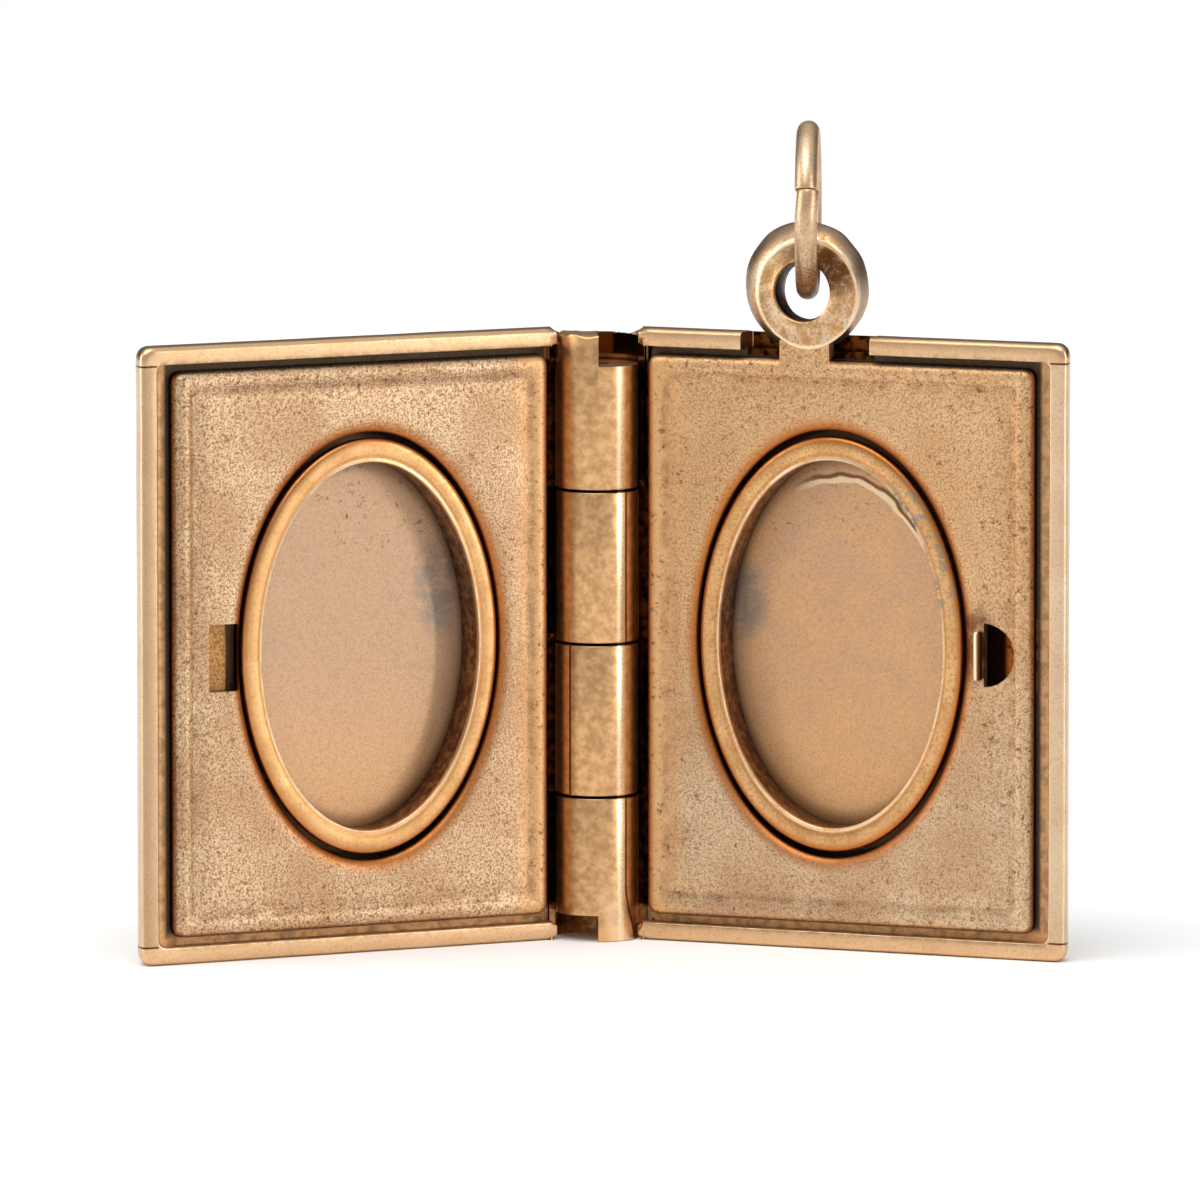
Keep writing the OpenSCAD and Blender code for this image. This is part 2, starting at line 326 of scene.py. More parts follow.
def trayDirtAndShade(made, surface, side, fine, smear, fromEnds):
    # Old dirt along the rims' inner edges, painted shade inside the tray and in its cuts for the catch and
    # the bail, and the shelf's own colour in the catch's slot
    out, deep, up = made.out, made.deep, made.up
    rim = leaf["rim"]
    foreEdge = leaf["width"] - rim
    innerEdge = (fromEnds - rim).fade(-0.22, 0.0) * (1 - deep.fade(0.05, 0.1))
    innerEdge = innerEdge * (1 - out.fade(foreEdge - 0.13, foreEdge - 0.03))
    surface = (innerEdge * smear.fade(0.3, 0.7) * 0.7).tint(surface, gold["tan"])
    # The round back leaves less room inside the deeper it goes
    innerOut = out + (deep - 1.25).most(0)
    inside = innerOut.band(1.45, foreEdge + 0.03, 0.03) * fromEnds.fade(rim - 0.05, rim)
    inside = inside * deep.band(0.09, 1.7, 0.03)
    # Painted shade in the well between the rim and the panel: near black, lighter on the ledge along the fore
    # edge and the foot
    foreStrip = out.fade(foreEdge - 0.58, foreEdge - 0.43) * (0.6 + smear.fade(0.35, 0.6) * 0.4)
    footStrip = (1 - up.fade(0.8, 1.1)) * (0.4 + smear.fade(0.3, 0.6) * 0.5)
    wellShade = foreStrip.most(footStrip).tint(gold["sootAndShade"], gold["honey"])
    surface = (inside * (1 - deep.fade(0.3, 0.6) * 0.15)).tint(surface, wellShade)
    atCatch = up.band(catch["z"] - 1.2, catch["z"] + 1.2, 0.05)
    if side == "left":
        # The shelf shows through the catch's slot
        shelf = out.band(catch["slit"] + 0.03, slotStart + catch["width"] + 0.06, 0.03) * atCatch
        shelf = shelf * (1 - deep.fade(1, 1.1))
        surface = shelf.tint(surface, (fine.fade(0.4, 0.6) * 0.6).tint(gold["ochre"], gold["brown"]))
    else:
        # Painted shade in the catch's hole at its left, and a painted orange lit strip at its right
        hole = out.band(tongueStart, panelHigh[0] + 0.02, 0.03) * atCatch * deep.band(0.5, 1.7, 0.03)
        warm = (out - tongueStart).fade(0.75, 1.0) * smear.fade(0.3, 0.5)
        surface = hole.tint(surface, warm.tint(gold["sootAndShade"], gold["orange"]))
        # Painted shade, mottled soot and brown, on the faces of the cut behind the bail
        halfCut = bail["cut"] / 2 - 0.04
        cutShade = (1 - abs(out - bail["cutMiddle"]).fade(halfCut, halfCut + 0.015)) * up.fade(19.85, 19.9)
        cutShade = cutShade * deep.band(0.06, bail["cutDepth"] + 0.02, 0.02)
        surface = cutShade.tint(surface, smear.fade(0.4, 0.6).tint(gold["sootAndShade"], gold["brown"]))
    return surface, inside


def hingeShade(made, surface, smear, fromEnds, fromPin, barrel):
    # Painted shade, soot and brown, in the gap beside the barrel, and round the ends of the spine
    out, deep, up = made.out, made.deep, made.up
    reach = cover["hingeReach"]
    beside = (1 - barrel) * (1 - out.fade(reach + 0.01, reach + 0.05)) * (1 - deep.fade(1.66, 1.69))
    # The bars' ends and the spine's outer face are kept out of the painted shade
    outerFace = fromPin.fade(knuckle["spineOut"] - 0.02, knuckle["spineOut"])
    barEnd = (out.fade(1.2, 1.25) * (1 - deep.fade(0.85, cover["barDepth"]))).most(outerFace)
    barEnd = barEnd * (1 - fromEnds.fade(leaf["rim"] - 0.04, leaf["rim"] - 0.01))
    beside = beside * (1 - barEnd.most(outerFace * (1 - out.fade(0.25, 0.3))))
    atEnd = 1 - fromEnds.fade(1.0, 1.2)
    # Painted shade round the spine's ends: tan and cream at the foot, brown at the top end and soot towards
    # its right
    spineEndShade = up.fade(10, 11).tint(smear.fade(0.35, 0.65).tint(gold["tan"], gold["cream"]), gold["brown"])
    spineShadeSide = made.across().fade(0.5, 0.65) * up.fade(10, 11) * (1 - outerFace)
    spineEndShade = spineShadeSide.tint(spineEndShade, gold["sootAndShade"])
    spineEndShade = (outerFace * 0.7).tint(spineEndShade, gold["tan"])
    surface = (beside * (1 - deep.fade(-0.4, 0.1) * (1 - atEnd))).tint(surface, spineEndShade)
    # Painted shade, soot and brown, along the gap beside the barrel
    return (beside * (1 - atEnd)).tint(surface, smear.fade(0.4, 0.7).tint(gold["sootAndShade"], gold["brown"]))


def barrelWearAndHighlight(made, surface, side, barrel):
    # Dark joints between the knuckles, a seam along them, a worn edge with a painted highlight down the right
    # side, and painted shade on both flanks
    out, deep, up = made.out, made.deep, made.up
    across = made.across()
    joint = (up + knuckle["drop"]).toAndFro(knuckleHeight / 2)
    isJoint = (1 - joint.fade(0.03, 0.08)) * up.band(1.2, leaf["height"] - 1.2, 0.2) * barrel
    surface = isJoint.tint(surface, gold["sootAndShade"])
    onFront = 1 - (deep * math.cos(lean) - out * math.sin(lean)).fade(-0.6, -0.2)
    pastSeam = across - knuckle["seam"]
    # A painted highlight down the right side, on an edge that is also worn
    toRight = 0 - across if side == "left" else across
    worn = (toRight - 0.77).band(-0.05, 0.05, 0.14)
    if side == "right":
        # Near the foot the seam bends outward, and the worn edge's painted highlight with it
        pastSeam = pastSeam - (1 - up.fade(-0.4, 1.9)) * 0.35
        worn = worn.most((1 - up.fade(0.4, 2.6)) * pastSeam.band(-0.7, -0.2, 0.35) * 0.55)
    worn = worn * onFront * barrel
    surface = (worn * 0.65).tint(surface, gold["glow"])
    seam = (1 - abs(pastSeam).fade(0.015, 0.045)) * onFront * barrel
    if side == "left":
        seamTop = knuckleHeight * 2 - knuckle["drop"]
        seam = seam * (1 - up.fade(seamTop - 0.05, seamTop))
    surface = seam.tint(surface, gold["brown"])
    # Painted shade: both flanks are deeper in colour
    flankShade = abs(across).fade(0.85, 1.2) * barrel * 0.35
    return flankShade.tint(surface, gold["orange"]), worn


def coverGold(side):
    made = Finish(side + "CoverGold", side)
    out, deep, up, point = made.out, made.deep, made.up, made.point
    fine = point.speckle(14, 3, 0.8)
    smear = point.speckle(3, 3, 0.6)
    rim = leaf["rim"]
    foreEdge = leaf["width"] - rim
    fromEnds = up.least(leaf["height"] - up)
    fromPin = (out * out + deep * deep) ** 0.5
    barrel = 1 - fromPin.fade(knuckle["radius"] + 0.01, knuckle["radius"] + 0.03)
    surface = (point.speckle(0.7, 2).fade(0.2, 0.8) * 0.6).tint(gold["cream"], gold["beige"])
    # Painted light: the end bars are brighter than the fore-edge one. The barrel is more yellow
    surface = ((1 - fromEnds.fade(rim - 0.1, rim + 0.02)) * 0.5).tint(surface, gold["honey"])
    # Painted shade on the left leaf's fore rim
    if side == "left":
        foreRimShade = out.band(foreEdge - 0.13, leaf["width"] - 0.08, 0.1) * fromEnds.fade(rim - 0.05, rim + 0.05)
        surface = (foreRimShade * (1 - deep.fade(0.08, 0.25)) * 0.5).tint(surface, gold["tan"])
    surface = (barrel * 0.9).tint(surface, gold["honey"])
    pits = fine.fade(0.5, 0.68) * (0.5 - barrel * 0.36)
    surface = pits.tint(surface, gold["tan"])
    surface, inside = trayDirtAndShade(made, surface, side, fine, smear, fromEnds)
    surface = hingeShade(made, surface, smear, fromEnds, fromPin, barrel)
    surface, worn = barrelWearAndHighlight(made, surface, side, barrel)
    # The joints of the end bars with the fore-edge bar
    barJoint = 1 - abs(fromEnds - (rim + 0.03)).fade(0.015, 0.05)
    surface = (barJoint * out.fade(foreEdge - 0.03, foreEdge + 0.07)).tint(surface, gold["brown"])
    roughness = 0.28 + pits * 0.25 + inside * 0.3 + barrel * 0.06 - worn * 0.08
    return made.finish(surface, roughness, fine * (1 - barrel * 0.6), 0.5)


def panelSatin(side):
    made = Finish(side + "PanelSatin", side)
    out, deep, up, point = made.out, made.deep, made.up, made.point
    fine = point.speckle(13, 3, 0.85)
    cloud = point.speckle(0.35, 3)
    surface = cloud.fade(0.35, 0.65).tint(gold["cream"], gold["beige"])
    if side == "right":
        surface = (up.fade(4, 14) * 0.6).tint(surface, gold["honey"])
    surface = (fine.fade(0.44, 0.58) * (1 if side == "left" else 0.7)).tint(surface, gold["tan"])
    surface = (fine.fade(0.58, 0.68) * 0.6).tint(surface, gold["brown"])
    fromEdge = (out - panelLow[0]).least(panelHigh[0] - out)
    fromEdge = fromEdge.least((up - panelLow[1]).least(panelHigh[1] - up))
    smear = point.speckle(1.6, 4, 0.65)
    # Painted warm light near the hinge, and painted shade in the moulding's valley
    surface = ((1 - out.fade(1.8, 3.6)) * 0.8).tint(surface, gold["honey"])
    surface = ((1 - out.fade(1.74, 2.0)) * 0.6).tint(surface, gold["orange"])
    valley = fromEdge.band(0.66, 0.74, 0.2) * smear.fade(0.3, 0.7) * 0.4
    surface = valley.tint(surface, gold["brown"])
    pitted = (smear.fade(0.4, 0.6) + 1 - fromEdge.fade(0.4, 1.1)).least(1)
    pits = point.speckle(4.5, 4, 0.75).fade(0.56, 0.66) * pitted
    surface = (pits * 0.7).tint(surface, gold["brown"])
    fromOval = made.fromOval()
    # Painted shade round the oval: orange on the rolled edge, then brown and soot down into the groove
    surface = ((1 - fromOval.fade(0.0, 0.4)) * 0.85).tint(surface, gold["orange"])
    surface = ((1 - fromOval.fade(-0.04, 0.3)) * deep.fade(0.2, 0.36)).tint(surface, gold["brown"])
    surface = ((1 - fromOval.fade(0.0, 0.3)) * deep.fade(0.34, 0.5)).tint(surface, gold["sootAndShade"])
    # The sides below the face get painted shade
    sideShade = deep.fade(0.24, 0.42) * (1 - fromEdge.fade(0.03, 0.12)).most(deep.fade(0.36, 0.42))
    surface = (sideShade * (1 - up.fade(19.8, 20.1))).tint(surface, gold["sootAndShade"])
    if side == "right":
        # Dirt round the catch's tongue, and on it a painted highlight at its edge and painted shade behind
        around = made.spot(tongueStart - 0.1, catch["z"] + 0.35, 0.9, 1.5) * smear.fade(0.35, 0.55) * 0.8
        surface = (around * (1 - deep.fade(0.16, 0.3))).tint(surface, gold["brown"])
        raised = 1 - deep.fade(-0.1, -0.04)
        surface = raised.tint(surface, (out - tongueStart).fade(0.1, 0.2).tint(gold["glow"], gold["brown"]))
    roughness = 0.42 + fine.fade(0.4, 0.75) * 0.15 + valley * 0.2
    return made.finish(surface, roughness, fine, 0.75)


def frameGold(side):
    made = Finish(side + "FrameGold", side)
    out, deep, up, point = made.out, made.deep, made.up, made.point
    smear = point.speckle(0.9, 4, 0.6)
    fine = point.speckle(9, 4, 0.75)
    surface = smear.fade(0.3, 0.7).tint(gold["honey"], gold["ochre"])
    surface = (fine.fade(0.45, 0.68) * (0.4 if side == "left" else 0.8)).tint(surface, gold["tan"])
    fromOval = made.fromOval()
    surface = (fromOval.fade(-0.5, -0.24) * (0.65 if side == "left" else 0.9)).tint(surface, gold["orange"])
    # A painted highlight on the lip at the inner edge
    across = (out - ovalMiddle[0]) / (panel["holeWidth"] - ovalFrame["grooveWidth"] - ovalFrame["side"])
    along = (up - ovalMiddle[1]) / (panel["holeHeight"] - ovalFrame["grooveHeight"] - ovalFrame["end"])
    fromLip = ((across * across + along * along) ** 0.5 - 1) * 4.7
    surface = (fromLip.band(0.0, 0.08, 0.04) * smear.fade(0.3, 0.6) * 0.6).tint(surface, gold["glow"])
    surface = (fromLip.band(0.14, 0.18, 0.05) * 0.4).tint(surface, gold["orange"])
    # Painted shade on the outer wall, down in the groove
    surface = (fromOval.fade(-0.3, -0.2) * deep.fade(0.28, 0.4)).tint(surface, gold["sootAndShade"])
    if side == "right":
        streaks = point.speckle(4, 4, 0.7).fade(0.5, 0.6) * made.spot(11.6, 13.6, 2.2, 3.2)
        surface = (streaks * 0.8).tint(surface, gold["grey"])
    else:
        streaks = point.speckle(2.5, 3, 0.6).fade(0.54, 0.6) * made.spot(13.1, 15.2, 1.3, 1.6)
        surface = (streaks * 0.6).tint(surface, gold["brown"])
    # Painted shade on the inner wall, tan and brown, going towards soot deeper down
    wallShade = point.speckle(3, 4, 0.75).fade(0.35, 0.6).tint(gold["tan"], gold["brown"])
    surface = deep.fade(0.16, 0.4).tint(surface, wallShade)
    surface = (deep.fade(0.7, 1.3) * 0.5).tint(surface, gold["sootAndShade"])
    return made.finish(surface, 0.33 + fine.fade(0.5, 0.7) * 0.2, fine, 0.4)


def plateMatt(side):
    made = Finish(side + "PlateMatt", side)
    out, up, point = made.out, made.up, made.point
    fine = point.speckle(14, 3, 0.8)
    smear = point.speckle(0.9, 4, 0.65)
    warm = gold["beige"] if side == "left" else gold["honey"]
    surface = (0.25 + smear.fade(0.2, 0.8) * 0.5).tint(gold["rose"], warm)
    surface = ((1 - up.fade(5, 10)) * 0.5).tint(surface, gold["honey"])
    surface = (fine.fade(0.4, 0.68) * 0.35).tint(surface, gold["tan"])
    stain = made.spot(5.2, 12.1, 1.1, 1.9) if side == "left" else made.spot(4.7, 11.5, 1.1, 1.5)
    surface = (stain * point.speckle(1.6, 4, 0.75).fade(0.3, 0.6) * 0.8).tint(surface, gold["grey"])
    pits = point.speckle(3.5, 4, 0.75).fade(0.58, 0.68) * made.spot(7.4, 15.2, 3.2, 2.2)
    surface = (pits * 0.6).tint(surface, gold["brown"])
    if side == "right":
        # A wavy line where the plate's border shows inside the lip
        wavy = made.fromOval() + 1.3 + (point.speckle(0.5, 2) - 0.5) * 0.9
        upperRight = ((out - ovalMiddle[0]) * 1.2 + up - ovalMiddle[1]).fade(2.5, 4.5)
        surface = ((1 - abs(wavy).fade(0.02, 0.09)) * upperRight * 0.8).tint(surface, gold["brown"])
        surface = (wavy.band(-0.16, -0.08, 0.05) * upperRight * 0.6).tint(surface, gold["glow"])
    # Painted shade near the frame's wall
    fromWall = 0 - made.fromOval() - 0.85
    surface = ((1 - fromWall.fade(0.0, 0.45)) * 0.6).tint(surface, gold["brown"])
    return made.finish(surface, 0.5 + fine.fade(0.45, 0.75) * 0.15, fine, 0.6)


def bailGold():
    made = Finish("bailGold")
    out, deep, up, point = made.out, made.deep, made.up, made.point
    fine = point.speckle(10, 3, 0.65)
    grime = point.speckle(2.4, 4, 0.7)
    surface = point.speckle(1.2, 3).fade(0.35, 0.65).tint(gold["cream"], gold["honey"])
    surface = (fine.fade(0.42, 0.68) * 0.7).tint(surface, gold["tan"])
    across = out - bail["middle"]
    along = up - bailHeight
    radius = (across * across + along * along) ** 0.5
    # The dished face is off the hole's middle, with a painted highlight on its edge and the most dirt at its
    # upper right
    faceAcross = across - 0.2
    faceAlong = along + 0.05
    faceRadius = (faceAcross * faceAcross + faceAlong * faceAlong) ** 0.5
    face = (1 - faceRadius.fade(1.68, 1.76)) * (1 - deep.fade(0.15, 0.2))
    surface = (face * grime.fade(0.4, 0.62) * 0.65).tint(surface, gold["tan"])
    patch = made.spot(bail["middle"] + 0.8, bailHeight + 1.0, 1.7, 1.35) * face
    surface = (patch * grime.fade(0.3, 0.52) * 0.9).tint(surface, gold["brown"])
    surface = (faceRadius.band(1.78, 1.86, 0.06) * 0.6).tint(surface, gold["glow"])
    side = deep.fade(0.2, 0.5) * radius.fade(1.7, 1.8)
    surface = (side * 0.85).tint(surface, grime.fade(0.35, 0.65).tint(gold["tan"], gold["grey"]))
    # Painted shade, soot and brown, in the hole, which widens towards the back
    hole = (1 - (radius - deep.fade(0.2, 1.0) * 0.2).fade(0.99, 1.03)) * deep.band(0.2, 1.46, 0.06)
    surface = hole.tint(surface, grime.fade(0.45, 0.6).tint(gold["sootAndShade"], gold["brown"]))
    solder = abs(up - 20.12 - (point.speckle(2.5, 2) - 0.5) * 0.3)
    surface = ((1 - solder.fade(0.03, 0.1)) * (1 - up.fade(20.4, 20.6)) * 0.9).tint(surface, gold["brown"])
    return made.finish(surface, 0.36 + fine.fade(0.45, 0.72) * 0.2, fine, 0.5)


def wireGold(name, first, second):
    made = Finish(name)
    fine = made.point.speckle(14, 2, 0.6)
    surface = made.point.speckle(0.8, 3).fade(0.35, 0.65).tint(first, second)
    surface = (fine.fade(0.5, 0.68) * 0.55).tint(surface, gold["tan"])
    # Painted shade on the wire below the bail's top, where the ring runs through it
    inBail = 1 - made.up.fade(bailHeight + 0.1, bailHeight + 2.2)
    surface = (inBail * (0.35 + fine.fade(0.4, 0.6) * 0.5)).tint(surface, gold["brown"])
    return made.finish(surface, 0.4 + fine.fade(0.5, 0.7) * 0.15, fine, 0.4)


print("materials ready")


# Modelling helpers

smooth = {"steps": 240, "crowding": 0.2}


def ring(bm, width, height, middle, depth):
    # An oval of edges in the leaf's own plane, its points crowded at the four corner directions
    verts = bmesh.ops.create_circle(bm, segments=smooth["steps"], radius=1)["verts"]
    for vert in verts:
        turn = math.atan2(vert.co.y, vert.co.x)
        turn += smooth["crowding"] * math.sin(4 * turn)
        vert.co = (middle[0] + width * math.cos(turn), depth, middle[1] + height * math.sin(turn))
    return list({e for v in verts for e in v.link_edges})


def squareRing(bm, low, high, radius, depth):
    # The same ring of points on a rectangle with round corners
    middle = (low + high) / 2
    half = (high - low) / 2
    edges = ring(bm, half[0], half[1], middle, depth)
    for vert in {v for e in edges for v in e.verts}:
        way = Vector((vert.co.x, vert.co.z)) - middle
        spot = way / max(abs(way[0]) / half[0], abs(way[1]) / half[1])
        past = Vector((abs(spot[0]) - half[0] + radius, abs(spot[1]) - half[1] + radius))
        if min(past) > 0:
            past = past * (1 - radius / past.length)
            spot = Vector([s - math.copysign(p, s) for s, p in zip(spot, past)])
        vert.co.x, vert.co.z = middle + spot
    return edges


def skin(bm, rings, closed=True):
    for near, far in zip(rings, rings[1:] + rings[:1] if closed else rings[1:]):
        bmesh.ops.bridge_loops(bm, edges=near + far)


def cap(bm, edges):
    bmesh.ops.contextual_create(bm, geom=edges)


def wave(point, size, height):
    return noise.noise(point / size) * height


def addPiece(name, bm, place, body, node, material, sharp=38):
    bmesh.ops.transform(bm, matrix=place, verts=bm.verts)
    bmesh.ops.recalc_face_normals(bm, faces=bm.faces)
    mesh = bpy.data.meshes.new(name)
    bm.to_mesh(mesh)
    bm.free()
    for face in mesh.polygons:
        face.use_smooth = True
    mesh.set_sharp_from_angle(angle=math.radians(sharp))
    piece = bpy.data.objects.new(name, mesh)
    bpy.context.collection.objects.link(piece)
    mesh.materials.append(material)
    shading = piece.modifiers.new("evenShading", "WEIGHTED_NORMAL")
    shading.keep_sharp = True
    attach(piece, body)
    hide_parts(node)


def combine(bm, other, operation):
    # Joins or cuts one closed shape with another
    parts = []
    for source in (bm, other):
        bmesh.ops.recalc_face_normals(source, faces=source.faces)
        mesh = bpy.data.meshes.new("work")
        source.to_mesh(mesh)
        source.free()
        part = bpy.data.objects.new("work", mesh)
        bpy.context.collection.objects.link(part)
        parts.append(part)
    step = parts[0].modifiers.new("work", "BOOLEAN")
    step.operation = operation
    step.solver = "EXACT"
    step.object = parts[1]
    bpy.context.view_layer.update()
    shown = parts[0].evaluated_get(bpy.context.evaluated_depsgraph_get())
    result = bmesh.new()
    result.from_mesh(shown.to_mesh())
    shown.to_mesh_clear()
    for part in parts:
        mesh = part.data
        bpy.data.objects.remove(part)
        bpy.data.meshes.remove(mesh)
    return result


def gather(bm, other):
    # Puts two closed shapes that overlap a little into one piece
    mesh = bpy.data.meshes.new("work")
    other.to_mesh(mesh)
    other.free()
    bm.from_mesh(mesh)
    bpy.data.meshes.remove(mesh)
    return bm


def block(low, high, edge=0.0, segments=2):
    bm = bmesh.new()
    size = Vector(high) - Vector(low)
    middle = (Vector(high) + Vector(low)) / 2
    bmesh.ops.create_cube(bm, size=1, matrix=Matrix.Translation(middle) @ Matrix.Diagonal((*size, 1)))
    if edge:
        bmesh.ops.bevel(bm, geom=bm.edges[:], offset=edge, offset_type="OFFSET", affect="EDGES",
                        segments=segments, profile=0.5, material=-1, clamp_overlap=True)
    return bm


def post(radius, low, high, segments=96, topRadius=None):
    # A round bar about the pin's line
    bm = bmesh.new()
    bmesh.ops.create_cone(bm, cap_ends=True, segments=segments, radius1=radius, radius2=topRadius or radius,
                          depth=high - low, matrix=Matrix.Translation((0, 0, (low + high) / 2)))
    return bm


# Covers: drawn trays with round backs and softened rims, with the hinge half from the frame

def roundInset(depth, radius, back):
    past = max(depth - (back - radius), 0)
    return radius - math.sqrt(max(radius * radius - past * past, 0))


def trayRing(bm, inset, depth, foreRound, endRound, back, corner):
    fore = inset + roundInset(depth, foreRound, back)
    end = inset + roundInset(depth, endRound, back)
    high = Vector((leaf["width"] - fore, leaf["height"] - end))
    return squareRing(bm, Vector((cover["start"], end)), high, corner, depth)


def trayShape():
    bm = bmesh.new()
    rim = leaf["rim"]
    # Pairs of a depth and an inset, over the back and sides and round the rim
    outside = [(d, 0) for d in (1.95, 1.93, 1.88, 1.8, 1.68, 1.5, 1.28, 1.05, 0.85, 0.65, 0.45, 0.26)]
    outside += [(0.19, 0.008), (0.13, 0.03), (0.08, 0.07), (0.045, 0.125), (0.03, 0.2)]
    rings = [trayRing(bm, inset, depth, cover["foreRound"], cover["endRound"], leaf["depth"], cover["corner"])
             for depth, inset in outside]
    inside = [(0.034, rim - 0.07), (0.04, rim - 0.03), (0.06, rim - 0.006)]
    inside += [(d, rim) for d in (0.09, 0.4, 0.75, 1.0, 1.25, 1.45, 1.6, 1.67, backIn)]
    fore, end = cover["innerForeRound"], cover["innerEndRound"]
    rings += [trayRing(bm, inset, depth, fore, end, backIn, cover["innerCorner"]) for depth, inset in inside]
    skin(bm, rings, closed=False)
    cap(bm, rings[0])
    cap(bm, rings[-1])
    for vert in bm.verts:
        # Dents only go inward at the fore edge, and the foot stays on the ground
        vert.co += Vector((wave(vert.co, 2.1, 1) - 1, wave(vert.co + Vector((9, 0, 0)), 2.5, 0.6),
                           wave(vert.co + Vector((0, 9, 0)), 2.1, 1))) * cover["dent"]
        vert.co.z = max(vert.co.z, 0)
    return bm


def ledgeShape():
    # The shelf that the panel lies on, with the oval left open
    bm = bmesh.new()
    low = Vector((1.74, leaf["rim"] - 0.03))
    high = Vector((leaf["width"] - leaf["rim"] + 0.03, leaf["height"] - leaf["rim"] + 0.03))
    near, far = cover["ledge"], cover["ledge"] + cover["ledgeThick"]
    rings = [squareRing(bm, low, high, 0.3, depth) for depth in (near, far)]
    rings += [ring(bm, panel["holeWidth"], panel["holeHeight"], ovalMiddle, depth)
              for depth in (far - 0.004, near + 0.004)]
    skin(bm, rings)
    return bm


def knuckleShape(index):
    # A bored knuckle with its strap; the two end ones have their outer half cut away
    last = knuckle["count"] - 1
    top = leaf["height"]
    low, high = 0.0, top - knuckle["worn"]
    if index > 0:
        low = knuckleHeight * index - knuckle["drop"] + knuckle["gap"] / 2
    if index < last:
        high = knuckleHeight * (index + 1) - knuckle["drop"] - knuckle["gap"] / 2
    bm = post(knuckle["radius"], low, high, segments=180)
    ends = [e for e in bm.edges if e.calc_face_angle(0) > 1.2]
    bmesh.ops.bevel(bm, geom=ends, offset=knuckle["edge"], offset_type="OFFSET", affect="EDGES", segments=4,
                    profile=0.5, material=-1, clamp_overlap=False)
    if index == last:
        for vert in bm.verts:
            if vert.co.z > high - 0.5:
                vert.co.z += wave(vert.co, 0.5, 0.12)
    if index in (0, last):
        start, end = (top - knuckle["cutTop"], top + 1) if index else (-1, knuckle["cutFoot"])
        cut = block((-3, -3, start), (0, 3, end))
        bmesh.ops.transform(cut, matrix=Matrix.Rotation(lean, 4, "Z"), verts=cut.verts)
        bm = combine(bm, cut, "DIFFERENCE")
    boreLow = knuckle["cutFoot"] if index == 0 else low - 1
    boreHigh = top - knuckle["cutTop"] if index == last else high + 1
    bm = combine(bm, post(knuckle["bore"], boreLow, boreHigh + 0.01, segments=48), "DIFFERENCE")
    strapEnd = min(high, top - knuckle["strapTop"]) - knuckle["strapGap"]
    strap = block((knuckle["radius"] - knuckle["strapIn"], cover["ledge"], low + knuckle["strapGap"]),
                  (cover["hingeReach"] + knuckle["strapOut"], cover["ledge"] + cover["ledgeThick"], strapEnd))
    return gather(bm, strap)


def hingeShape(side):
    # The spine, or the lip over it, from the frame, and the barrel's knuckles
    top = leaf["height"]
    bm = bmesh.new()
    bm.from_mesh(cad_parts[side + "_cover"].data)
    bmesh.ops.transform(bm, matrix=places[side].inverted(), verts=bm.verts)
    bmesh.ops.remove_doubles(bm, verts=bm.verts, dist=0.0005)
    keep = combine(post(cover["hingeReach"] + 0.05, -1, top + 1),
                   block((-3, -3, -1), (0.02, 3, top + 1)), "UNION")
    keep = combine(keep, post(knuckle["radius"] + 0.025, -2, top + 2), "DIFFERENCE")
    bm = combine(bm, keep, "INTERSECT")
    # Worn down a little at the top
    high = top - knuckle["spineWorn"]
    bm = combine(bm, block((-3, -3, high), (3, 3, top + 1)), "DIFFERENCE")
    # An arc on each side closes the view past the barrel's ends
    start = -0.4 if side == "right" else 0.27
    arc = combine(post(knuckle["spineOut"], 0.02, high), post(knuckle["spineIn"], -1, top + 1), "DIFFERENCE")
    bm = gather(bm, combine(arc, block((start, knuckle["arcDepth"], -1), (1.5, 2, top + 1)), "INTERSECT"))
    for index in range(1 if side == "left" else 0, knuckle["count"], 2):
        bm = gather(bm, knuckleShape(index))
    return bm


def addCover(side):
    top = leaf["height"]
    rim = leaf["rim"]
    reach = cover["barReach"]
    wide = cover["barReach"] + cover["barRound"]
    bm = combine(trayShape(), block((-5, -3, -1), (0, 3, top + 1)), "DIFFERENCE")
    # The end bars come closer to the barrel than the tray does, with their ends rounded
    bm = combine(bm, post(reach, -1, top + 1), "DIFFERENCE")
    step = cover["barStep"]
    bm = combine(bm, post(cover["hingeReach"], rim - step, top - rim + step), "DIFFERENCE")
    behind = block((-3, cover["barDepth"], -2), (3, 3, top + 2))
    bm = combine(bm, combine(post(cover["hingeReach"], -1, top + 1), behind, "INTERSECT"), "DIFFERENCE")
    for low in (0, top - rim):
        bm = combine(bm, post(wide, low - 0.02, low + cover["barRound"], topRadius=reach), "DIFFERENCE")
        high = low + rim
        bm = combine(bm, post(reach, high - cover["barRound"], high + 0.02, topRadius=wide), "DIFFERENCE")
    wall = block((cover["hingeWallStart"], cover["ledge"], rim - 0.05),
                 (cover["hingeWall"], backIn + 0.05, top - rim + 0.05))
    bm = gather(bm, combine(wall, post(cover["hingeReach"], -1, top + 1), "DIFFERENCE"))
    shelf = ledgeShape()
    if side == "left":
        half = catch["height"] / 2
        slit = block((slotStart, 0, catch["z"] - half), (catch["slit"], 1.2, catch["z"] + half))
        shelf = combine(shelf, slit, "DIFFERENCE")
    else:
        half = bail["cut"] / 2
        notch = block((bail["cutMiddle"] - half, -1, top - leaf["rim"] - panel["endGap"] / 2),
                      (bail["cutMiddle"] + half, bail["cutDepth"], top + 1), 0.04)
        bm = combine(bm, notch, "DIFFERENCE")
    bm = gather(gather(bm, shelf), hingeShape(side))
    addPiece(side + "Cover", bm, places[side], side + "_leaf", side + "_cover",
             coverGold(side), 34)


# Panels: satin plates with a raised moulding round the outline and a rolled edge round the oval

